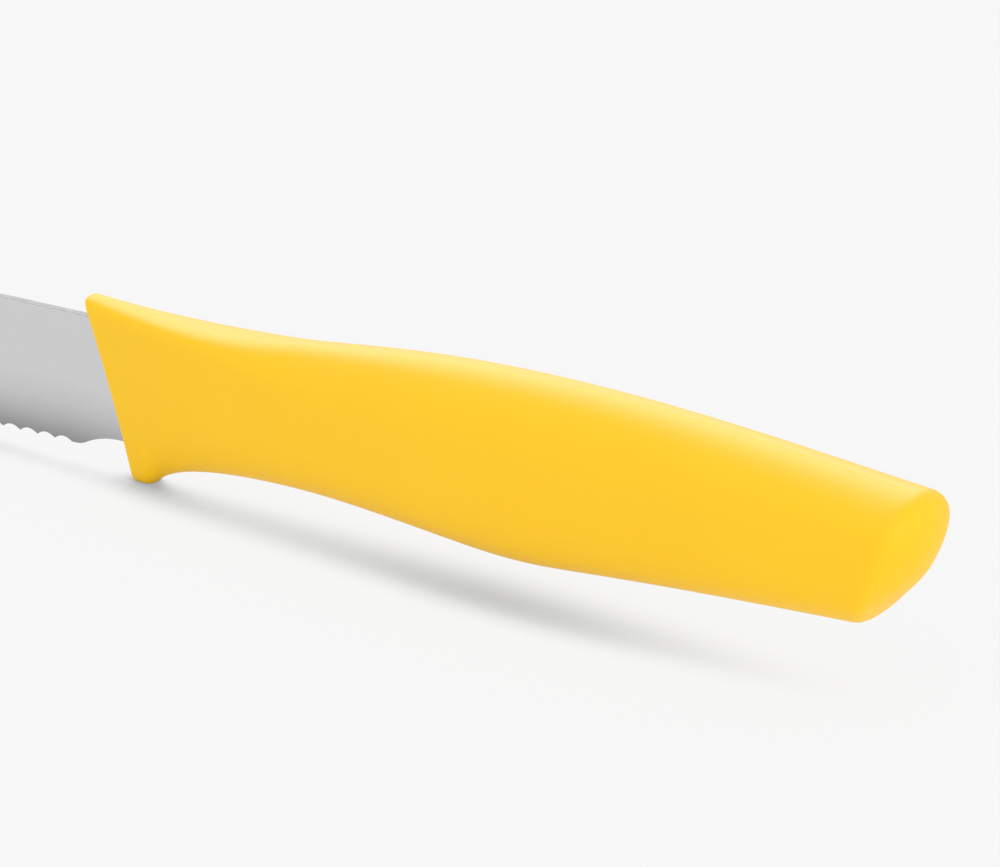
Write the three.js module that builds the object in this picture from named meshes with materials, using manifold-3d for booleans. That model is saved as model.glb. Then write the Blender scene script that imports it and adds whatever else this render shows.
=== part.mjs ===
// Serrated table knife: a stamped and ground stainless blade whose tang is moulded into a one-piece
// polypropylene handle. Millimetres, +Z up.
//
// The knife is drawn as it stands on a table, on the foot of its heel and the belly of its edge. The table
// is z = 0, the butt points along +X and the tip along -X, and y = 0 is the middle of the blade's sheet.
// The origin is the foot of the heel. A reach is a distance from it along the table.

import * as THREE from 'three';
import { mergeVertices } from 'three/addons/utils/BufferGeometryUtils.js';
import Module from 'manifold-3d';

const { clamp, degToRad, inverseLerp, lerp, smoothstep } = THREE.MathUtils;

// Blade: side outline
const sheetThickness = 1.2;
const bladeReach = 115; // to the tip
const spineHeight = 18.75; // straight above the foot
const spineFall = 2.6; // degrees that the spine falls towards the tip
const spineStraight = 75; // reach of the straight spine, before it curves down to the tip
const spinePull = 22; // how far that curve follows the straight spine
const bellyReach = 79.5; // to the lowest point of the edge
const tipHeight = 4.6; // foremost point of the round tip
const tipRounding = 4.5; // length of the round tip along the edge
const tipPull = 5; // how far the spine's curve rises straight up from the foremost point

// Blade: grind
const edgeThickness = 0.2;
const grindHeight = 9.5; // from the tooth points up to the flat flanks
const tipThickness = 0.9; // the flanks taper to this at the tip
const flankReach = 10; // where that taper begins, just ahead of the handle

// Blade: serration, ground from the right-hand side with a round-edged wheel
const toothReach = 12.6; // to the tooth point nearest the handle
const toothHeight = 1.95; // of that point
const serrationReach = 107; // no scallop passes this, near the tip
const scallopPitch = 2.7;
const scallopDepth = 0.5;
const wheelTilt = 13; // degrees between the wheel's cut and the blade's middle plane
const toothLand = 0.04; // height that the wheel leaves untouched at each tooth point

// Blade: plain choil between the teeth and the handle
const choilHeight = 4.05; // highest point of its arc
const choilReach = 4.2; // to that point
const choilRadius = 13;
const choilLength = 6.4; // from that point to where it runs out towards the last tooth

// Tang, hidden in the handle
const shoulderReach = 3; // behind the foot
const shoulderRounding = 1.5;
const tangReach = 66;
const tangHeight = 9.6; // at the shoulders
const tangEndHeight = 7;
const holeDiameter = 5; // holes that the moulding flows through
const frontHoleReach = 18.5;
const rearHoleReach = 46.5;
const mouldGap = 0.3; // clearance between steel and moulding

// Handle: top rail, from the lip over the crown to the butt
const lipReach = 9.15; // ahead of the foot
const lipRise = 2.65; // above the spine
const lipPull = 30.5;
const lipDip = 1.8; // how far the lip's end of the curve points down over its pull
const crownReach = 64.6;
const crownHeight = 25.9;
const crownPullForward = 37;
const crownPullBack = 16;
const buttTopHeight = 23.85;
const buttTopPull = 12;
const buttTopFall = 0.5; // over that pull

// Handle: bottom rail, from the foot over the finger groove and the palm swell to the butt
const heelReach = 2.2; // ahead of the foot, to the front's lower corner
const heelTurn = 0.12; // ahead of the foot, where the heel's underside turns up
const footCut = 0.3; // height that the flat foot takes off the rounded heel
const heelPull = 2.8;
const heelRise = 4.5; // how far the back of the heel points up over its pull
const grooveReach = 27.6;
const grooveHeight = 5;
const groovePullForward = 5;
const groovePullBack = 9.5;
const palmReach = 50.6;
const palmHeight = 4.3;
const palmPullForward = 5;
const palmPullBack = 10;
const buttBottomHeight = 9.85;
const buttBottomPull = 49.5;
const buttBottomRise = 4.3; // over that pull

// Handle: ends and thickness
const frontBow = 0.4; // how far the front is hollowed, seen from the side
const frontRim = 0.25; // edge radius round the front
const handleReach = 104.05; // to the middle of the butt
const buttSlant = 5.3; // how much further back the butt's top is than its bottom
const buttBow = 0.82; // how much further back it is halfway up than straight between them
const buttRim = 2; // edge radius round the butt
const buttCrown = 1.7; // how far the butt bulges
const frontThickness = 3.2;
const frontSpread = 3.4; // how much the front's sides spread over their pull
const frontSidePull = 14;
const palmThickness = 12.6;
const palmSideReach = 56.6; // thickest place
const palmSidePull = 22;
const buttThickness = 13.0;
const frontFullness = 26; // section exponent: flat sides with tight corners
const backFullness = 3; // further back: an upper half near an oval
const backFullnessReach = 25; // where it has become that
const bellyFullness = 3.5; // and a slightly fuller lower half
const bellyFullnessReach = -5; // where that is full, ahead of the foot

// Fineness of the curved surfaces
const handleStations = 34;
const stationCrowding = 1.6; // above 1, stations crowd towards the heel
const sectionPoints = 48;
const rimSteps = 4;
const crownRings = [0.8, 0.6, 0.4, 0.2];
const bladeStations = 14;
const grindSteps = 6;
const outlineSegments = 20;
const wheelSides = 96;

const wasm = await Module();
wasm.setup();

// A closed three.js geometry as a solid that can be joined and cut.
function solid(geometry) {
  geometry.deleteAttribute('normal');
  geometry.deleteAttribute('uv');
  const merged = mergeVertices(geometry, 1e-5);
  return new wasm.Manifold(new wasm.Mesh({
    numProp: 3,
    vertProperties: new Float32Array(merged.attributes.position.array),
    triVerts: new Uint32Array(merged.index.array),
  }));
}

// The named mesh of a finished solid.
function piece(name, body, material) {
  const { vertProperties, triVerts } = body.getMesh();
  const geometry = new THREE.BufferGeometry();
  geometry.setAttribute('position', new THREE.BufferAttribute(vertProperties, 3));
  geometry.setIndex(new THREE.BufferAttribute(triVerts, 1));
  geometry.computeVertexNormals();
  const mesh = new THREE.Mesh(geometry, material);
  mesh.name = name;
  return mesh;
}

// A closed surface through rings that run along +X, each counter-clockwise seen from +X, with fanned ends.
function loft(rings) {
  const count = rings[0].length;
  const points = rings.flat();
  const triangles = [];
  for (let ring = 0; ring + 1 < rings.length; ring += 1) {
    for (let i = 0; i < count; i += 1) {
      const a = ring * count + i;
      const b = ring * count + ((i + 1) % count);
      triangles.push(a, b, a + count, b, b + count, a + count);
    }
  }
  const fan = (start, facesBack) => {
    const hub = points.length;
    const middle = new THREE.Vector3();
    rings[start / count].forEach((point) => middle.addScaledVector(point, 1 / count));
    points.push(middle);
    for (let i = 0; i < count; i += 1) {
      const a = start + i;
      const b = start + ((i + 1) % count);
      triangles.push(hub, facesBack ? a : b, facesBack ? b : a);
    }
  };
  fan(0, false);
  fan((rings.length - 1) * count, true);
  const geometry = new THREE.BufferGeometry().setFromPoints(points);
  geometry.setIndex(triangles);
  return geometry;
}

// A side outline, drawn in x and z, as a plate of the given thickness about y = 0.
function plate(outline, thickness) {
  const geometry = new THREE.ExtrudeGeometry(outline, {
    depth: thickness,
    bevelEnabled: false,
    curveSegments: outlineSegments,
  });
  return solid(geometry.translate(0, 0, -thickness / 2).rotateX(Math.PI / 2));
}

// A round bar across the knife, through the given place in the side view.
function crossBar(x, z, diameter, length) {
  const geometry = new THREE.CylinderGeometry(diameter / 2, diameter / 2, length, outlineSegments);
  return solid(geometry.translate(x, 0, z));
}

// A rail is a row of curves in order of x, each from one high or low point to the next.
function curve(...corners) {
  return new THREE.CubicBezierCurve(...corners.map(([x, z]) => new THREE.Vector2(x, z)));
}

function valueAt(rail, x) {
  const part = rail.find((candidate) => x <= candidate.v3.x) ?? rail.at(-1);
  let low = 0;
  let high = 1;
  for (let halving = 0; halving < 40; halving += 1) {
    const middle = (low + high) / 2;
    if (part.getPoint(middle).x < x) {
      low = middle;
    } else {
      high = middle;
    }
  }
  return part.getPoint(low).y;
}

const spineAt = (x) => spineHeight + x * Math.tan(degToRad(spineFall));
const lipHeight = spineAt(-lipReach) + lipRise;
const railReach = handleReach + buttSlant / 2 + buttCrown;

const topRail = [
  curve(
    [-lipReach, lipHeight],
    [lipPull - lipReach, lipHeight - lipDip],
    [crownReach - crownPullForward, crownHeight],
    [crownReach, crownHeight],
  ),
  curve(
    [crownReach, crownHeight],
    [crownReach + crownPullBack, crownHeight],
    [railReach - buttTopPull, buttTopHeight + buttTopFall],
    [railReach, buttTopHeight],
  ),
];

const bottomRail = [
  curve(
    [-lipReach, -footCut],
    [-heelReach, -footCut],
    [-heelReach, -footCut],
    [-heelTurn, -footCut],
  ),
  curve(
    [-heelTurn, -footCut],
    [heelPull - heelTurn, heelRise - footCut],
    [grooveReach - groovePullForward, grooveHeight],
    [grooveReach, grooveHeight],
  ),
  curve(
    [grooveReach, grooveHeight],
    [grooveReach + groovePullBack, grooveHeight],
    [palmReach - palmPullForward, palmHeight],
    [palmReach, palmHeight],
  ),
  curve(
    [palmReach, palmHeight],
    [palmReach + palmPullBack, palmHeight],
    [railReach - buttBottomPull, buttBottomHeight - buttBottomRise],
    [railReach, buttBottomHeight],
  ),
];

const thicknessRail = [
  curve(
    [-lipReach, frontThickness],
    [frontSidePull - lipReach, frontThickness + frontSpread],
    [palmSideReach - palmSidePull, palmThickness],
    [palmSideReach, palmThickness],
  ),
  curve(
    [palmSideReach, palmThickness],
    [palmSideReach + palmSidePull, palmThickness],
    [railReach - palmSidePull, buttThickness],
    [railReach, buttThickness],
  ),
];

const middleAt = (x) => (valueAt(topRail, x) + valueAt(bottomRail, x)) / 2;
const fullnessAt = (reach, height) => (height > 0
  ? lerp(frontFullness, backFullness, smoothstep(reach, -lipReach, backFullnessReach))
  : lerp(frontFullness, bellyFullness, smoothstep(reach, -lipReach, bellyFullnessReach)));

// Both end faces as x over the section's height, from -1 at the bottom rail to 1 at the top rail.
const frontAt = (height) => lerp(-heelReach, -lipReach, (height + 1) / 2) + frontBow * (1 - height ** 2);
const buttAt = (height) => handleReach + (buttSlant / 2) * height - buttBow * height ** 2;

// The butt's rim turns from the sides until it meets the slope at the edge of the bulge.
const buttTurn = Math.atan2(buttThickness / 2, 2 * buttCrown);
const buttRimReach = buttRim * Math.sin(buttTurn);

// One ring of the handle, between the front's rim (progress 0) and the butt's (progress 1). It can be moved
// along the handle, drawn in from the full section by an inset, and shrunk about its middle.
function handleRing(progress, { move = 0, inset = 0, shrink = 1 } = {}) {
  const reach = lerp(-lipReach, handleReach, progress);
  const halfWidth = valueAt(thicknessRail, reach) / 2 - inset;
  const ring = [];
  for (let i = 0; i < sectionPoints; i += 1) {
    const angle = (2 * Math.PI * (i + 0.5)) / sectionPoints;
    const height = Math.sin(angle);
    const start = frontAt(height * shrink) + frontRim;
    const stop = buttAt(height * shrink) - buttCrown - buttRimReach;
    const x = lerp(start, stop, progress) + move;
    const halfHeight = (valueAt(topRail, x) - valueAt(bottomRail, x)) / 2 - inset;
    const side = Math.sign(Math.cos(angle)) * Math.sqrt(1 - Math.abs(height) ** fullnessAt(reach, height));
    ring.push(new THREE.Vector3(x, halfWidth * side * shrink, middleAt(x) + halfHeight * height * shrink));
  }
  return ring;
}

// The rings of a rounded rim, from the full section to its end face, which is a given turn from the sides.
function rimRings(progress, radius, direction, turn) {
  const rings = [];
  for (let step = 1; step <= rimSteps; step += 1) {
    const angle = (step / rimSteps) * turn;
    rings.push(handleRing(progress, {
      move: direction * radius * Math.sin(angle),
      inset: radius * (1 - Math.cos(angle)),
    }));
  }
  return rings;
}

function handleBody() {
  const rings = rimRings(0, frontRim, -1, Math.PI / 2).reverse();
  for (let station = 0; station <= handleStations; station += 1) {
    rings.push(handleRing((station / handleStations) ** stationCrowding));
  }
  rings.push(...rimRings(1, buttRim, 1, buttTurn));
  crownRings.forEach((shrink) => {
    rings.push(handleRing(1, {
      move: buttRimReach + buttCrown * (1 - shrink ** 2),
      inset: buttRim * (1 - Math.cos(buttTurn)),
      shrink,
    }));
  });
  return solid(loft(rings));
}

// Continues an outline from the spine round the shoulders and the tang to the bottom of the blade's root,
// with every side moved out by grow.
function drawTang(outline, grow) {
  const shoulder = shoulderReach + grow;
  const top = middleAt(shoulderReach) + tangHeight / 2 + grow;
  const bottom = middleAt(shoulderReach) - tangHeight / 2 - grow;
  const endRadius = tangEndHeight / 2;
  const endCentre = tangReach - endRadius;
  outline.lineTo(shoulder, spineAt(shoulderReach) + grow);
  outline.lineTo(shoulder, top + shoulderRounding);
  outline.quadraticCurveTo(shoulder, top, shoulder + shoulderRounding, top);
  outline.absarc(endCentre, middleAt(endCentre), endRadius + grow, Math.PI / 2, -Math.PI / 2, true);
  outline.lineTo(shoulder + shoulderRounding, bottom);
  outline.quadraticCurveTo(shoulder, bottom, shoulder, bottom - shoulderRounding);
  outline.lineTo(shoulder, choilHeight - grow);
}

const holes = [frontHoleReach, rearHoleReach].map((reach) => ({ x: reach, z: middleAt(reach) }));

// The points of the teeth lie on a parabola that touches the table at the belly.
const toothSpan = bellyReach - toothReach;
const toothLineAt = (x) => toothHeight * ((x + bellyReach) / toothSpan) ** 2;

// The blade as it is stamped from the sheet: teeth not yet cut, tang and its holes included.
function bladeBlank() {
  const outline = new THREE.Shape();
  outline.moveTo(-spineStraight, spineAt(-spineStraight));
  drawTang(outline, 0);
  outline.lineTo(-choilReach, choilHeight);

  const choilEnd = -choilReach - choilLength;
  const choilDrop = Math.sqrt(choilRadius ** 2 - choilLength ** 2);
  const choilAngle = Math.PI / 2 + Math.asin(choilLength / choilRadius);
  outline.absarc(-choilReach, choilHeight - choilRadius, choilRadius, Math.PI / 2, choilAngle, false);
  const dropLeft = choilHeight - choilRadius + choilDrop - toothHeight;
  const bumpCorner = choilEnd - (dropLeft * choilDrop) / choilLength;
  outline.quadraticCurveTo(bumpCorner, toothHeight, -toothReach, toothHeight);

  const edgeEnd = tipRounding - bladeReach;
  const bend = (toothHeight * (edgeEnd + bellyReach)) / toothSpan;
  outline.quadraticCurveTo((edgeEnd - toothReach) / 2, bend, edgeEnd, toothLineAt(edgeEnd));
  outline.quadraticCurveTo(-bladeReach, toothLineAt(-bladeReach), -bladeReach, tipHeight);
  const pullEnd = -spineStraight - spinePull;
  outline.bezierCurveTo(
    -bladeReach,
    tipHeight + tipPull,
    pullEnd,
    spineAt(pullEnd),
    -spineStraight,
    spineAt(-spineStraight),
  );

  const overThickness = 2 * sheetThickness;
  let blank = plate(outline, overThickness);
  holes.forEach(({ x, z }) => {
    blank = blank.subtract(crossBar(x, z, holeDiameter, 2 * overThickness));
  });
  return blank;
}

// Half the blade's thickness at a height above the tooth line: flat flanks that bend smoothly into the edge.
function halfThickness(flank, height) {
  const left = 1 - clamp(height / grindHeight, 0, 1);
  return flank / 2 - ((flank - edgeThickness) / 2) * left ** 2;
}

const flankAt = (x) => (
  lerp(sheetThickness, tipThickness, clamp(inverseLerp(flankReach, bladeReach, -x), 0, 1))
);

// The sheet as it is ground: thinning to the edge along the blade, and left whole at the tang.
function groundSheet() {
  const margin = 2;
  const heights = [-margin];
  for (let step = 0; step <= grindSteps; step += 1) {
    heights.push((step / grindSteps) * grindHeight);
  }
  heights.push(crownHeight);
  const ring = (x, base, halfAt) => {
    const right = heights.map((height) => new THREE.Vector3(x, halfAt(height), base + height));
    const left = right.map(({ y, z }) => new THREE.Vector3(x, -y, z));
    return [...right, ...left.reverse()];
  };
  const rings = [];
  for (let station = 0; station <= bladeStations; station += 1) {
    const x = lerp(-bladeReach - margin, -flankReach, station / bladeStations);
    rings.push(ring(x, toothLineAt(x), (height) => halfThickness(flankAt(x), height)));
  }
  [shoulderReach, tangReach + margin].forEach((x) => rings.push(ring(x, 0, () => sheetThickness / 2)));
  return solid(loft(rings));
}

// The wheel's cut for one scallop. Its trough climbs from the left face at the edge out through the right
// face, so the teeth are hollow on the right and flat on the left. The wheel's radius follows from the pitch
// and from how far the trough has to fall away, square to itself, between its bottom and a tooth point.
function scallopCut(x) {
  const tilt = degToRad(wheelTilt);
  const edgeSlope = (flankAt(x) - edgeThickness) / grindHeight;
  const fall = (scallopDepth + toothLand) * Math.cos(tilt) * (Math.tan(tilt) + edgeSlope);
  const wheelRadius = ((scallopPitch / 2) ** 2 + fall ** 2) / (2 * fall);
  const cutLength = 2 * grindHeight;
  const wheel = new THREE.CylinderGeometry(wheelRadius, wheelRadius, cutLength, wheelSides);
  wheel.rotateX(Math.PI / 2 - tilt);
  wheel.translate(
    x,
    wheelRadius * Math.cos(tilt) - halfThickness(flankAt(x), scallopDepth),
    toothLineAt(x) + scallopDepth - wheelRadius * Math.sin(tilt),
  );
  return solid(wheel);
}

function bladeBody() {
  let body = bladeBlank().intersect(groundSheet());
  const scallops = Math.floor((serrationReach - toothReach) / scallopPitch);
  for (let scallop = 0; scallop < scallops; scallop += 1) {
    body = body.subtract(scallopCut(-toothReach - (scallop + 0.5) * scallopPitch));
  }
  return body;
}

// The room that the steel takes up in the moulding, less the plugs that lock the tang through its holes.
function tangRoom() {
  const mouth = -2 * lipReach;
  const roomThickness = sheetThickness + 2 * mouldGap;
  const outline = new THREE.Shape();
  outline.moveTo(mouth, spineAt(mouth) + mouldGap);
  outline.lineTo(-lipReach, spineAt(-lipReach) + mouldGap);
  drawTang(outline, mouldGap);
  outline.lineTo(mouth, choilHeight - mouldGap);
  let room = plate(outline, roomThickness);
  holes.forEach(({ x, z }) => {
    room = room.subtract(crossBar(x, z, holeDiameter - 2 * mouldGap, 2 * roomThickness));
  });
  return room;
}

// Everything below the table, which trims the foot of the heel flat.
function table() {
  const width = 2 * palmThickness;
  const depth = palmThickness;
  return solid(new THREE.BoxGeometry(2 * handleReach, width, depth).translate(0, 0, -depth / 2));
}

const stainlessSteel = new THREE.MeshStandardMaterial({ color: 0xc9cacb, roughness: 0.35, metalness: 1 });
const yellowPolypropylene = new THREE.MeshStandardMaterial({ color: 0xfdcb31, roughness: 0.4, metalness: 0 });

const knife = new THREE.Group();
knife.add(piece('blade', bladeBody(), stainlessSteel));
knife.add(piece('handle', handleBody().subtract(tangRoom()).subtract(table()), yellowPolypropylene));

export default knife;
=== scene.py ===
import math
from bisect import bisect

import bmesh
import bpy
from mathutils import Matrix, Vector
from mathutils.geometry import interpolate_bezier


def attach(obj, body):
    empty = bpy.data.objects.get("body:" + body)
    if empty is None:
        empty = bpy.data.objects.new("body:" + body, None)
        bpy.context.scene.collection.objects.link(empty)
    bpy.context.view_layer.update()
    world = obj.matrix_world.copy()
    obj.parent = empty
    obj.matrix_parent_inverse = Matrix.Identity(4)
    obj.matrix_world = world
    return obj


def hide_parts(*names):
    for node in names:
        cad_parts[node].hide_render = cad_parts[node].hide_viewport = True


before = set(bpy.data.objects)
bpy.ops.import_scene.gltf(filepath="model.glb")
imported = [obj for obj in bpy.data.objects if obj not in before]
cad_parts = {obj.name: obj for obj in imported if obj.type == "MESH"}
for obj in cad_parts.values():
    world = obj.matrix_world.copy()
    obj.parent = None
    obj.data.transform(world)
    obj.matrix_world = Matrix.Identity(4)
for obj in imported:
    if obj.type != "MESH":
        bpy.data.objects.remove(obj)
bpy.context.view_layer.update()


# Blade: one stamping of thin stainless sheet, with a tang behind the shoulders that the handle is moulded
# round. Its flanks are taper ground to a thin edge, and a round wheel grinds the scallops between the teeth
# from the right-hand side only. Sizes are in millimetres, and reaches run from the foot of the heel.
sheet_thickness = 1.2
blade_reach = 115
spine_height = 18.75
spine_slope = math.tan(math.radians(2.6))
spine_straight = 75  # where the straight spine starts to curve down to the tip
spine_pull = 22  # how far that curve follows the straight spine
spine_chamfer = 0.12
painted_shade_band = 8  # height above the tooth points over which the flank is painted darker, as painted reflected shade
belly_reach = 79.5  # lowest point of the edge
tip_height = 4.6
tip_rounding = 4.5
tip_pull = 5  # how far the spine's curve rises straight up from the foremost point
edge_thickness = 0.2
keen_edge = 0.015  # steel that the wheel leaves at the sharp edge
grind_height = 9.5  # from the tooth points up to the flat flanks
tip_thickness = 0.9
flank_reach = 10
tooth_reach = 12.6  # tooth point nearest the handle
tooth_height = 1.95
scallop_pitch = 2.7
scallop_count = 34
scallop_depth = 0.5
wheel_tilt = math.radians(13)
tooth_land = 0.04  # height that the wheel leaves untouched at each tooth point
choil_height = 4.05
choil_reach = 4.2
choil_radius = 13
choil_end = -10.6  # where the plain choil runs out towards that tooth
bump_reach = 11.33  # corner of the small bump between them, before it is rounded
shoulder_reach = 3
shoulder_step = 0.01  # length over which the shoulders drop to the tang
tang_reach = 66
tang_height, tang_middle = 9.6, 11.27
tang_end_height, tang_end_middle = 7, 15.55
tang_rounding = ((1 / 2, 1), (1 / 8, 0.7), (0, 0.3))  # distance from the end and height, in end heights

MM = 0.001
curve_steps = 300


def between(start, stop, share):
    return start + (stop - start) * share


def within(value, low, high):
    return min(max(value, low), high)


def rail(*curves):
    """Places along a row of curves in order of x, each given as its end, two pulls and other end."""
    places = []
    for corners in curves:
        places += interpolate_bezier(*[Vector((x, 0, z)) for x, z in corners], curve_steps)
    return places


def rail_at(places, x):
    after = within(bisect(places, x, key=lambda place: place.x), 1, len(places) - 1)
    low, high = places[after - 1], places[after]
    share = (x - low.x) / max(high.x - low.x, 1e-6)
    return between(low.z, high.z, within(share, 0, 1))


def rounded(start, corner, stop):
    """A round corner as one curve of a rail."""
    pulls = [[between(end[i], corner[i], 2 / 3) for i in range(2)] for end in (start, stop)]
    return start, *pulls, stop


def spine_line(x):
    return spine_height + x * spine_slope


def tooth_line(x):
    return tooth_height * ((x + belly_reach) / (belly_reach - tooth_reach)) ** 2


tip_point = (-blade_reach, tip_height)
edge_end = tip_rounding - blade_reach
spine_rail = rail((
    tip_point,
    (-blade_reach, tip_height + tip_pull),
    (-spine_straight - spine_pull, spine_line(-spine_straight - spine_pull)),
    (-spine_straight, spine_line(-spine_straight)),
))
tip_rail = rail(rounded(
    tip_point, (-blade_reach, tooth_line(-blade_reach)), (edge_end, tooth_line(edge_end))
))


def spine_at(x):
    return spine_line(x) if x > -spine_straight else rail_at(spine_rail, x)


def choil_arc(x):
    return choil_height - choil_radius + math.sqrt(choil_radius ** 2 - (x + choil_reach) ** 2)


bump_rail = rail(rounded(
    (-tooth_reach, tooth_height), (-bump_reach, tooth_height), (choil_end, choil_arc(choil_end))
))


def plain_edge(x):
    """Height of the edge before the teeth are ground."""
    if x < edge_end:
        return rail_at(tip_rail, x)
    if x < -tooth_reach:
        return tooth_line(x)
    if x < choil_end:
        return rail_at(bump_rail, x)
    return choil_arc(min(x, -choil_reach))


def half_thickness(x, z):
    """Half the sheet's thickness: flat flanks that bend smoothly to the edge, whole at the shoulders."""
    ground = min(x, -flank_reach)
    flank = between(sheet_thickness, tip_thickness, (-ground - flank_reach) / (blade_reach - flank_reach))
    left = 1 - within((z - tooth_line(ground)) / grind_height, 0, 1)
    half = flank / 2 - (flank - edge_thickness) / 2 * left ** 2
    whole = within((x + flank_reach) / (flank_reach + shoulder_reach), 0, 1)
    return between(half, sheet_thickness / 2, whole)


def wheel_cut(x, z):
    """How far to the right the nearest scallop's wheel leaves the steel."""
    scallop = within(math.floor((-x - tooth_reach) / scallop_pitch), 0, scallop_count - 1)
    middle = -tooth_reach - (scallop + 0.5) * scallop_pitch
    trough = tooth_line(middle) + scallop_depth
    half = half_thickness(middle, trough)
    lean = math.tan(wheel_tilt)
    edge_slope = (half - edge_thickness / 2) / scallop_depth
    fall = (scallop_depth + tooth_land) * math.cos(wheel_tilt) * (lean + edge_slope)
    radius = ((scallop_pitch / 2) ** 2 + fall ** 2) / (2 * fall)
    rise = radius - math.sqrt(max(radius ** 2 - (x - middle) ** 2, 0))
    return rise / math.cos(wheel_tilt) - half + lean * (z - trough)


halvings = 30


def crossing(gap, low, high):
    """The place between low and high where a gap that grows from below zero closes."""
    for halving in range(halvings):
        middle = (low + high) / 2
        low, high = (middle, high) if gap(middle) < 0 else (low, middle)
    return high


teeth_end = -tooth_reach - scallop_count * scallop_pitch
flank_rows = 16
facet_rows = 7
row_crowding = 1.5
chamfer_bulge = 0.3


def blade_section(x):
    """Corners of the blade across its length: up the left flank, over the spine and down the right flank."""
    edge, spine = plain_edge(x), spine_at(x)
    chamfer = min(spine_chamfer, (spine - edge) / 6)
    shoulder = spine - chamfer
    if teeth_end <= x <= -tooth_reach:
        edge = crossing(lambda z: wheel_cut(x, z) + half_thickness(x, z), edge, edge + 2 * scallop_depth)
    facet_top = edge + chamfer / 2
    if wheel_cut(x, facet_top) < half_thickness(x, facet_top):
        facet_limit = edge + grind_height / 2
        facet_top = crossing(lambda z: wheel_cut(x, z) - half_thickness(x, z), facet_top, facet_limit)
    shares = [(row / flank_rows) ** row_crowding for row in range(flank_rows + 1)]
    left = [between(edge, shoulder, share) for share in shares]
    right = [between(edge, facet_top, row / facet_rows) for row in range(facet_rows)]
    right += [between(facet_top, shoulder, share) for share in shares]
    corners = [(-half_thickness(x, z), z) for z in left]
    top, bulge = half_thickness(x, spine), chamfer_bulge * chamfer
    corners += [(-top + bulge, spine - bulge), (-top + chamfer, spine)]
    corners += [(top - chamfer, spine), (top - bulge, spine - bulge)]
    for z in reversed(right):
        half = half_thickness(x, z)
        corners.append((max(min(half, wheel_cut(x, z)), keen_edge - half), z))
    return [Vector((x, y, z)) * MM for y, z in corners]


def tang_section(x, middle, height):
    """The blade's corners again, drawn in to the tang's height."""
    low, high = middle - height / 2, middle + height / 2
    root = blade_section(shoulder_reach)
    foot, top = min(place.z for place in root), max(place.z for place in root)
    heights = [between(low, high, (place.z - foot) / (top - foot)) for place in root]
    return [Vector((x * MM, place.y, z * MM)) for place, z in zip(root, heights)]


def draw_out(shape, ring, places):
    """Extrudes a ring of corners and moves the new ring to the given places."""
    edges = [shape.edges.get(pair) for pair in zip(ring, ring[1:] + ring[:1])]
    made = set(bmesh.ops.extrude_edge_only(shape, edges=edges)["geom"])
    drawn = []
    for corner, place in zip(ring, places):
        ends = [edge.other_vert(corner) for edge in corner.link_edges]
        fresh = next(end for end in ends if end in made)
        fresh.co = place
        drawn.append(fresh)
    return drawn


def drawn_shape(sections):
    """A closed shape through sections with the same number of corners, capped at both ends."""
    shape = bmesh.new()
    ring = bmesh.ops.create_circle(shape, segments=len(sections[0]), radius=MM)["verts"]
    for corner, place in zip(ring, sections[0]):
        corner.co = place
    bmesh.ops.contextual_create(shape, geom=ring)
    for places in sections[1:]:
        ring = draw_out(shape, ring, places)
    bmesh.ops.contextual_create(shape, geom=ring)
    bmesh.ops.recalc_face_normals(shape, faces=shape.faces)
    return shape


def finished_piece(name, shape, *finishes, crisp_angle):
    """The shape as an object, smooth but for edges that turn by more than the crisp angle."""
    for face in shape.faces:
        face.smooth = True
    for edge in shape.edges:
        edge.smooth = edge.calc_face_angle(0) < math.radians(crisp_angle)
    mesh = bpy.data.meshes.new(name)
    shape.to_mesh(mesh)
    shape.free()
    for finish in finishes:
        mesh.materials.append(finish)
    piece = bpy.data.objects.new(name, mesh)
    bpy.context.scene.collection.objects.link(piece)
    return piece


tip_steps, scallop_steps, choil_steps = 30, 12, 24
tooth_steps = scallop_count * scallop_steps
first_station = 0.004 - blade_reach  # just behind the tip, where the blade has some height
blade_stations = [between(first_station, teeth_end, (i / tip_steps) ** 2) for i in range(tip_steps)]
blade_stations += [between(teeth_end, -tooth_reach, i / tooth_steps) for i in range(tooth_steps)]
blade_stations += [between(-tooth_reach, shoulder_reach, i / choil_steps) for i in range(choil_steps + 1)]
blade_sections = [blade_section(x) for x in blade_stations]
blade_sections.append(tang_section(shoulder_reach + shoulder_step, tang_middle, tang_height))
for inward, share in tang_rounding:
    x, height = tang_reach - inward * tang_end_height, share * tang_end_height
    blade_sections.append(tang_section(x, tang_end_middle, height))
blade_shape = drawn_shape(blade_sections)
facet_finish, spine_finish = 1, 2
facing_right, facing_up = 0.5, 0.4
least_grind = 0.004
for face in blade_shape.faces:
    x, y, z = face.calc_center_median() / MM
    ground = x < -flank_reach and y < half_thickness(x, z) - least_grind
    if ground and face.normal.y > facing_right:
        face.material_index = facet_finish
    elif face.normal.z > facing_up and z > plain_edge(x) + grind_height / 4:
        face.material_index = spine_finish


def linear(hex_colour):
    """An sRGB hex colour as the linear colour that a socket takes."""
    parts = [int(hex_colour[i:i + 2], 16) / 255 for i in (1, 3, 5)]
    return (*[p / 12.92 if p <= 0.04045 else ((p + 0.055) / 1.055) ** 2.4 for p in parts], 1)


def add(material, kind, links=(), **settings):
    """Adds a node with its settings, sockets by name with underscores for spaces, and links or numbers."""
    node = material.node_tree.nodes.new(kind)
    for name, value in settings.items():
        socket = node.inputs.get(name.replace("_", " "))
        if socket is not None:
            socket.default_value = value
        else:
            setattr(node, name, value)
    for source, name in links:
        if isinstance(source, (int, float)):
            node.inputs[name].default_value = source
        else:
            material.node_tree.links.new(source, node.inputs[name])
    return node


def shader_of(material):
    material.use_nodes = True
    return material.node_tree.nodes["Principled BSDF"]


def lines_per_metre(millimetres):
    return 1000 / millimetres
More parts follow.
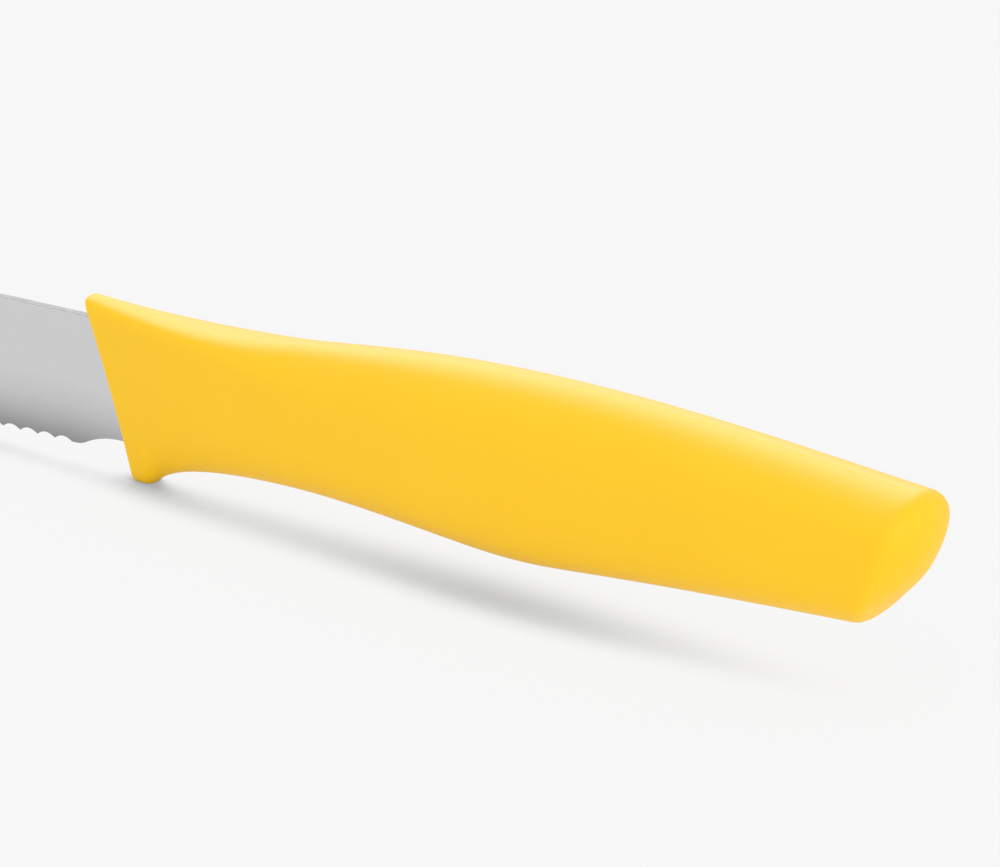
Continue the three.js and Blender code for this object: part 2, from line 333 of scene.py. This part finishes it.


# Satin-ground stainless steel: the taper is ground across the blade with a fine belt, which leaves hair
# lines from spine to edge, too fine to part by eye. They are drawn a fifth of a millimetre apart so that
# they just show, and make the grey reflection soft and a little streaked. The flank's colour is painted
# darker over its last millimetres towards the row of tooth points: a painted reflection of the shaded
# paper close under the blade.
hair_gap, hair_stretch, hair_depth = 0.2, 0.03, 0.02
noise_low, noise_high = 0.3, 0.7  # between which a noise pattern mostly stays
satin_steel = bpy.data.materials.new("satin_ground_stainless_steel")
shader = shader_of(satin_steel)
shader.inputs["Metallic"].default_value = 1
place = add(satin_steel, "ShaderNodeTexCoord")
axes = add(satin_steel, "ShaderNodeSeparateXYZ", [(place.outputs["Object"], "Vector")])
ahead = add(
    satin_steel, "ShaderNodeMapping", [(place.outputs["Object"], "Vector")], vector_type="TEXTURE",
    Location=(-belly_reach * MM, 0, 0), Scale=((belly_reach - tooth_reach) * MM, 1, 1),
)
tooth_points = add(
    satin_steel, "ShaderNodeTexGradient", [(ahead.outputs["Vector"], "Vector")], gradient_type="QUADRATIC",
)
above_teeth = add(
    satin_steel, "ShaderNodeMath",
    [(tooth_points.outputs["Fac"], 0), (-tooth_height * MM, 1), (axes.outputs["Z"], 2)],
    operation="MULTIPLY_ADD",
)
painted_shade_fade = add(
    satin_steel, "ShaderNodeMapRange", [(above_teeth.outputs["Value"], "Value")], From_Max=painted_shade_band * MM,
)
# Painted reflected shade: the steel's colour darkens towards the tooth points.
painted_reflected_shade = add(satin_steel, "ShaderNodeValToRGB", [(painted_shade_fade.outputs["Result"], "Fac")])
painted_reflected_shade.color_ramp.interpolation = "B_SPLINE"
for share, colour in ((0.28, "#B6B6B7"), (0.6, "#CDCDCE")):
    painted_reflected_shade.color_ramp.elements.new(share).color = linear(colour)
painted_reflected_shade.color_ramp.elements[0].color = linear("#98989A")
painted_reflected_shade.color_ramp.elements[-1].color = linear("#D7D7D8")
satin_steel.node_tree.links.new(painted_reflected_shade.outputs["Color"], shader.inputs["Base Color"])
belt = add(
    satin_steel, "ShaderNodeMapping", [(place.outputs["Object"], "Vector")], Scale=(1, 1, hair_stretch),
)
hair_lines = add(
    satin_steel, "ShaderNodeTexNoise", [(belt.outputs["Vector"], "Vector")],
    Scale=lines_per_metre(hair_gap), Detail=3, Roughness=0.6,
)
sheen = add(
    satin_steel, "ShaderNodeMapRange", [(hair_lines.outputs["Fac"], "Value")],
    From_Min=noise_low, From_Max=noise_high, To_Min=0.27, To_Max=0.36,
)
relief = add(
    satin_steel, "ShaderNodeBump", [(hair_lines.outputs["Fac"], "Height")],
    Strength=0.12, Distance=hair_depth * MM,
)
satin_steel.node_tree.links.new(sheen.outputs["Result"], shader.inputs["Roughness"])
satin_steel.node_tree.links.new(relief.outputs["Normal"], shader.inputs["Normal"])

# Wheel-ground stainless steel: the hollow facets of the teeth come off a finer wheel that runs along the
# edge, so they are smoother and brighter than the flanks, with faint lines along the blade.
wheel_gap, wheel_stretch = 0.12, 0.08
facet_steel = bpy.data.materials.new("wheel_ground_stainless_steel")
shader = shader_of(facet_steel)
shader.inputs["Metallic"].default_value = 1
shader.inputs["Base Color"].default_value = linear("#D8D8DA")
place = add(facet_steel, "ShaderNodeTexCoord")
wheel = add(
    facet_steel, "ShaderNodeMapping", [(place.outputs["Object"], "Vector")], Scale=(wheel_stretch, 1, 1),
)
wheel_lines = add(
    facet_steel, "ShaderNodeTexNoise", [(wheel.outputs["Vector"], "Vector")],
    Scale=lines_per_metre(wheel_gap), Detail=2, Roughness=0.5,
)
sheen = add(
    facet_steel, "ShaderNodeMapRange", [(wheel_lines.outputs["Fac"], "Value")],
    From_Min=noise_low, From_Max=noise_high, To_Min=0.16, To_Max=0.24,
)
facet_steel.node_tree.links.new(sheen.outputs["Result"], shader.inputs["Roughness"])

# Sheared stainless steel: the spine keeps the face that the stamping tool cut, which is duller and darker
# than the ground flanks and has a fine tear across the sheet.
tear_width = 0.3
sheared_steel = bpy.data.materials.new("sheared_stainless_steel")
shader = shader_of(sheared_steel)
shader.inputs["Metallic"].default_value = 1
shader.inputs["Base Color"].default_value = linear("#969697")
place = add(sheared_steel, "ShaderNodeTexCoord")
tear = add(
    sheared_steel, "ShaderNodeTexNoise", [(place.outputs["Object"], "Vector")],
    Scale=lines_per_metre(tear_width), Detail=2, Roughness=0.5,
)
sheen = add(
    sheared_steel, "ShaderNodeMapRange", [(tear.outputs["Fac"], "Value")],
    From_Min=noise_low, From_Max=noise_high, To_Min=0.65, To_Max=0.8,
)
sheared_steel.node_tree.links.new(sheen.outputs["Result"], shader.inputs["Roughness"])

blade = finished_piece("ground_blade", blade_shape, satin_steel, facet_steel, sheared_steel, crisp_angle=6)
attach(blade, "root")
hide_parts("blade")


# Handle: one injection moulding of yellow polypropylene, shot straight round the tang. It has a slanted
# front with a lip above and a heel below, a finger groove, a palm swell and a slanted, rounded butt. The two
# halves of the tool meet on the knife's middle plane and leave a hair line of flash on the back and belly.
lip_reach = 9.15
lip_rise = 2.65  # above the spine
lip_height = spine_line(-lip_reach) + lip_rise
lip_pull, lip_dip = 30.5, 1.8  # the lip's end of the curve points down by the dip over its pull
crown_reach, crown_height = 64.6, 25.9
crown_pull_forward, crown_pull_back = 37, 16
butt_top_height = 23.85
butt_top_pull, butt_top_fall = 12, 0.5
heel_reach = 2.2
heel_turn = 0.12  # ahead of the foot, where the heel's underside turns up
heel_pull, heel_rise = 2.8, 4.5
foot_cut = 0.3  # height that the flat foot takes off the rounded heel
groove_reach, groove_height = 27.6, 5
groove_pull_forward, groove_pull_back = 5, 9.5
palm_reach, palm_height = 50.6, 4.3
palm_pull_forward, palm_pull_back = 5, 10
butt_bottom_height = 9.85
butt_bottom_pull, butt_bottom_rise = 49.5, 4.3
handle_reach = 104.05  # middle of the butt
butt_slant = 5.3  # how much further back the butt's top is than its bottom
butt_bow = 0.82  # how much further back it is halfway up than straight between them
butt_rim = 2
butt_crown = 1.7  # how far the butt bulges
front_bow = 0.4  # how far the front is hollowed, seen from the side
front_rim = 0.25
front_thickness, palm_thickness, butt_thickness = 3.2, 12.6, 13.0
front_side_pull, front_spread = 14, 3.4
palm_side_reach, palm_side_pull = 56.6, 22
butt_turn = math.atan2(butt_thickness / 2, 2 * butt_crown)
butt_rim_reach = butt_rim * math.sin(butt_turn)
rail_reach = handle_reach + butt_slant / 2 + butt_crown
front_fullness = 26  # section exponent: flat sides with tight corners
back_fullness, back_fullness_reach = 3, 25  # further back, an upper half near an oval
belly_fullness, belly_fullness_reach = 3.5, -5  # and a slightly fuller lower half
flash_height = 0.03
flash_angle = math.radians(0.9)
flash_growth, flash_fade = 20, 40  # how fast it grows behind the front and fades before the butt
blade_clearance = 0.02
pocket_squareness = 12  # how tight the pocket's corners are

lip_end = (-lip_reach, lip_height)
crown = (crown_reach, crown_height)
top_rail = rail(
    (
        lip_end,
        (lip_pull - lip_reach, lip_height - lip_dip),
        (crown_reach - crown_pull_forward, crown_height),
        crown,
    ),
    (
        crown,
        (crown_reach + crown_pull_back, crown_height),
        (rail_reach - butt_top_pull, butt_top_height + butt_top_fall),
        (rail_reach, butt_top_height),
    ),
)
heel_corner, heel_end = (-heel_reach, -foot_cut), (-heel_turn, -foot_cut)
groove = (groove_reach, groove_height)
palm = (palm_reach, palm_height)
bottom_rail = rail(
    ((-lip_reach, -foot_cut), heel_corner, heel_corner, heel_end),
    (
        heel_end,
        (heel_pull - heel_turn, heel_rise - foot_cut),
        (groove_reach - groove_pull_forward, groove_height),
        groove,
    ),
    (
        groove,
        (groove_reach + groove_pull_back, groove_height),
        (palm_reach - palm_pull_forward, palm_height),
        palm,
    ),
    (
        palm,
        (palm_reach + palm_pull_back, palm_height),
        (rail_reach - butt_bottom_pull, butt_bottom_height - butt_bottom_rise),
        (rail_reach, butt_bottom_height),
    ),
)
palm_side = (palm_side_reach, palm_thickness)
side_rail = rail(
    (
        (-lip_reach, front_thickness),
        (front_side_pull - lip_reach, front_thickness + front_spread),
        (palm_side_reach - palm_side_pull, palm_thickness),
        palm_side,
    ),
    (
        palm_side,
        (palm_side_reach + palm_side_pull, palm_thickness),
        (rail_reach - palm_side_pull, butt_thickness),
        (rail_reach, butt_thickness),
    ),
)

section_steps = 96
section_angles = [2 * math.pi * step / section_steps for step in range(section_steps)]
flash_angles = [math.pi / 2, 3 * math.pi / 2]
section_angles += [angle + turn for angle in flash_angles for turn in (-flash_angle, flash_angle)]
section_angles.sort()


def front_at(height):
    """x of the front, by height from -1 at the heel to 1 at the lip."""
    return between(-heel_reach, -lip_reach, (height + 1) / 2) + front_bow * (1 - height ** 2)


def butt_at(height):
    """x of the butt, by height from -1 at its bottom to 1 at its top."""
    return handle_reach + butt_slant / 2 * height - butt_bow * height ** 2


def handle_section(progress, move=0, inset=0, shrink=1, flash=0):
    """Corners round the handle, from its front's rim (progress 0) to its butt's (progress 1)."""
    reach = between(-lip_reach, handle_reach, progress)
    half_width = rail_at(side_rail, reach) / 2 - inset
    corners = []
    for angle in section_angles:
        height = math.sin(angle)
        start = front_at(height * shrink) + front_rim
        stop = butt_at(height * shrink) - butt_crown - butt_rim_reach
        x = between(start, stop, progress) + move
        top, bottom = rail_at(top_rail, x), rail_at(bottom_rail, x)
        fullness, fullness_reach = back_fullness, back_fullness_reach
        if height < 0:
            fullness, fullness_reach = belly_fullness, belly_fullness_reach
        share = within((reach + lip_reach) / (fullness_reach + lip_reach), 0, 1)
        fullness = between(front_fullness, fullness, share * share * (3 - 2 * share))
        side = math.copysign(math.sqrt(max(1 - abs(height) ** fullness, 0)), math.cos(angle))
        z = (top + bottom) / 2 + ((top - bottom) / 2 - inset) * height * shrink
        if angle in flash_angles:
            z += math.copysign(flash * flash_height, height)
        corners.append(Vector((x, half_width * side * shrink, max(z, 0))) * MM)
    return corners


def pocket_section(low, high, x_at):
    """Corners round the pocket that the steel fills, between two heights."""
    half = sheet_thickness / 2 + blade_clearance
    corners = []
    for angle in section_angles:
        height = math.sin(angle)
        z = between(low - blade_clearance, high + blade_clearance, (height + 1) / 2)
        side = math.copysign(min(1, pocket_squareness * abs(math.cos(angle))), math.cos(angle))
        corners.append(Vector((x_at(z), half * side, z)) * MM)
    return corners


def on_front(z):
    return front_at(2 * z / lip_height - 1)


rim_steps, body_steps, crown_steps = 6, 130, 10
body_crowding = 1.4
tang_low, tang_high = tang_middle - tang_height / 2, tang_middle + tang_height / 2
end_low, end_high = tang_end_middle - tang_end_height / 2, tang_end_middle + tang_end_height / 2
pocket_shoulder = shoulder_reach + shoulder_step + blade_clearance
handle_sections = [
    pocket_section(end_low, end_high, lambda z: tang_reach),
    pocket_section(tang_low, tang_high, lambda z: pocket_shoulder + shoulder_step),
    pocket_section(choil_height, spine_line(shoulder_reach), lambda z: pocket_shoulder),
    pocket_section(choil_height, spine_line(-lip_reach), on_front),
]
for step in range(rim_steps):
    turn = step / rim_steps * math.pi / 2
    handle_sections.append(handle_section(0, -front_rim * math.cos(turn), front_rim * (1 - math.sin(turn))))
for step in range(body_steps + 1):
    progress = (step / body_steps) ** body_crowding
    flash = min(1, flash_growth * progress, flash_fade * (1 - progress))
    handle_sections.append(handle_section(progress, flash=flash))
for step in range(1, rim_steps + 1):
    turn = step / rim_steps * butt_turn
    handle_sections.append(handle_section(1, butt_rim * math.sin(turn), butt_rim * (1 - math.cos(turn))))
for step in range(1, crown_steps):
    shrink = 1 - step / crown_steps
    bulge = butt_rim_reach + butt_crown * (1 - shrink ** 2)
    handle_sections.append(handle_section(1, bulge, butt_rim * (1 - math.cos(butt_turn)), shrink))
handle_shape = drawn_shape(handle_sections)

# Moulded polypropylene, pigmented warm yellow: waxy and slightly milky, with light that spreads a little way
# under the skin. The tool is spark eroded to a satin face, which leaves a fine even grain and a soft gloss.
# The grain is a tenth of a millimetre in life and is drawn three times as coarse so that it shows.
grain_width, grain_depth = 0.3, 0.03
flow_width = 14
scatter_reach = 1.2
polypropylene = bpy.data.materials.new("satin_moulded_yellow_polypropylene")
shader = shader_of(polypropylene)
shader.inputs["IOR"].default_value = 1.49
shader.inputs["Specular IOR Level"].default_value = 0.32
shader.inputs["Subsurface Weight"].default_value = 0.15
shader.inputs["Subsurface Radius"].default_value = (1, 0.55, 0.12)
shader.inputs["Subsurface Scale"].default_value = scatter_reach * MM
place = add(polypropylene, "ShaderNodeTexCoord")
grain = add(
    polypropylene, "ShaderNodeTexNoise", [(place.outputs["Object"], "Vector")],
    Scale=lines_per_metre(grain_width), Detail=2, Roughness=0.5,
)
flow = add(
    polypropylene, "ShaderNodeTexNoise", [(place.outputs["Object"], "Vector")],
    Scale=lines_per_metre(flow_width), Detail=2, Roughness=0.5,
)
pigment = add(polypropylene, "ShaderNodeValToRGB", [(flow.outputs["Fac"], "Fac")])
for stop, colour in zip(pigment.color_ramp.elements, ("#F8C411", "#FCC815")):
    stop.color = linear(colour)
gloss = add(
    polypropylene, "ShaderNodeMapRange", [(grain.outputs["Fac"], "Value")],
    From_Min=noise_low, From_Max=noise_high, To_Min=0.42, To_Max=0.52,
)
relief = add(
    polypropylene, "ShaderNodeBump", [(grain.outputs["Fac"], "Height")],
    Strength=0.1, Distance=grain_depth * MM,
)
polypropylene.node_tree.links.new(pigment.outputs["Color"], shader.inputs["Base Color"])
polypropylene.node_tree.links.new(gloss.outputs["Result"], shader.inputs["Roughness"])
polypropylene.node_tree.links.new(relief.outputs["Normal"], shader.inputs["Normal"])

handle = finished_piece("moulded_handle", handle_shape, polypropylene, crisp_angle=40)
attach(handle, "root")
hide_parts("handle")


# Stage: a sheet of pale paper in a white room, so even that the knife's only shadow is where it comes close
# to the paper, and that shadow is painted into the paper's colour and glow. Three large soft boxes help the
# room: one behind shows only as the gleam along the back, one above lifts the upper side, and one at the
# butt's end lifts the butt.
floor_shape = bmesh.new()
bmesh.ops.create_grid(floor_shape, x_segments=1, y_segments=1, size=4)
shadow_reach = 10
shadow_share = 0.54  # of the paper's light that the painted shadow takes at its darkest

# Matt white paper: with no gloss it shows evenly pale, as under soft light from all round. A painted shadow
# darkens its colour and its glow in the narrow strip where the knife hides the sky from two slanting sides
# at once.
paper_colour = linear("#F7F7F7")
paper_glow = 0.95  # share of the paper's look that is even, whatever the lamps do
paper = bpy.data.materials.new("matt_white_paper_with_painted_shadow")
shader = shader_of(paper)
shader.inputs["Roughness"].default_value = 0.9
shader.inputs["Specular IOR Level"].default_value = 0


def hidden_sky(lean, little, much):
    """How far the hidden share of the sky, leaning to the knife's right, has come from little to much."""
    turn = math.radians(lean)
    way = add(paper, "ShaderNodeCombineXYZ", Y=math.sin(turn), Z=math.cos(turn))
    sky = add(
        paper, "ShaderNodeAmbientOcclusion", [(way.outputs["Vector"], "Normal")],
        Distance=shadow_reach * MM, samples=16,
    )
    return add(
        paper, "ShaderNodeMapRange", [(sky.outputs["AO"], "Value")], interpolation_type="SMOOTHSTEP",
        From_Min=1 - little, From_Max=1 - much,
    ).outputs["Result"]


right_sky = hidden_sky(lean=60, little=0.056, much=0.545)
left_sky = hidden_sky(lean=-30, little=0.019, much=0.302)
hidden = add(paper, "ShaderNodeMath", [(right_sky, 0), (left_sky, 1)], operation="MULTIPLY")
shade = add(
    paper, "ShaderNodeMath", [(hidden.outputs["Value"], 0), (-shadow_share, 1), (1, 2)],
    operation="MULTIPLY_ADD",
)
# Painted shadow: the paper's colour and its glow are darkened by the shade worked out above.
paper_colour_with_painted_shadow = add(paper, "ShaderNodeHueSaturation", [(shade.outputs["Value"], "Value")], Color=paper_colour)
paper.node_tree.links.new(paper_colour_with_painted_shadow.outputs["Color"], shader.inputs["Base Color"])
glow_with_painted_shadow = add(paper, "ShaderNodeEmission", [(shade.outputs["Value"], "Strength")], Color=paper_colour)
ray = add(paper, "ShaderNodeLightPath")
mirrored = add(
    paper, "ShaderNodeMath",
    [(ray.outputs["Is Glossy Ray"], 0), (ray.outputs["Is Transmission Ray"], 1)], operation="MAXIMUM",
)
seen = add(
    paper, "ShaderNodeMath",
    [(ray.outputs["Is Camera Ray"], 0), (mirrored.outputs["Value"], 1)], operation="MAXIMUM",
)
glow = add(paper, "ShaderNodeMath", [(seen.outputs["Value"], 0), (paper_glow, 1)], operation="MULTIPLY")
look = add(paper, "ShaderNodeMixShader", [(glow.outputs["Value"], 0), (shader.outputs["BSDF"], 1)])
paper.node_tree.links.new(glow_with_painted_shadow.outputs["Emission"], look.inputs[2])
paper.node_tree.links.new(look.outputs["Shader"], paper.node_tree.nodes["Material Output"].inputs["Surface"])
floor = finished_piece("floor", floor_shape, paper, crisp_angle=30)

room = bpy.data.worlds.new("white_room")
bpy.context.scene.world = room
room.use_nodes = True
room.node_tree.nodes["Background"].inputs["Color"].default_value = linear("#FFFFFF")


def soft_box(name, watts, side, place, gleam_only=False):
    """A square soft box at a place, turned to the handle, that lights all or shows in gleams only."""
    lamp = bpy.data.lights.new(name, "AREA")
    lamp.energy = watts
    lamp.size = side
    stand = bpy.data.objects.new(name, lamp)
    stand.location = place
    stand.visible_diffuse = not gleam_only
    stand.rotation_euler = Vector(place).to_track_quat("Z", "Y").to_euler()
    bpy.context.scene.collection.objects.link(stand)


soft_box("soft_box_behind", watts=10, side=1, place=(-0.51, 0.56, 0.63), gleam_only=True)
soft_box("soft_box_above", watts=0.6, side=0.6, place=(0.1, -0.4, 0.9))
soft_box("soft_box_at_butt", watts=1.8, side=0.5, place=(0.98, -0.2, 0.2))

camera = bpy.data.cameras.new("camera")
camera.lens = 184.79
camera.sensor_width = 36
camera_stand = bpy.data.objects.new("camera", camera)
camera_stand.location = (0.359517, -0.411533, 0.223964)
camera_stand.rotation_euler = (math.radians(68.2), 0, math.radians(37))
bpy.context.scene.collection.objects.link(camera_stand)
bpy.context.scene.camera = camera_stand
bpy.context.scene.view_settings.view_transform = "Standard"
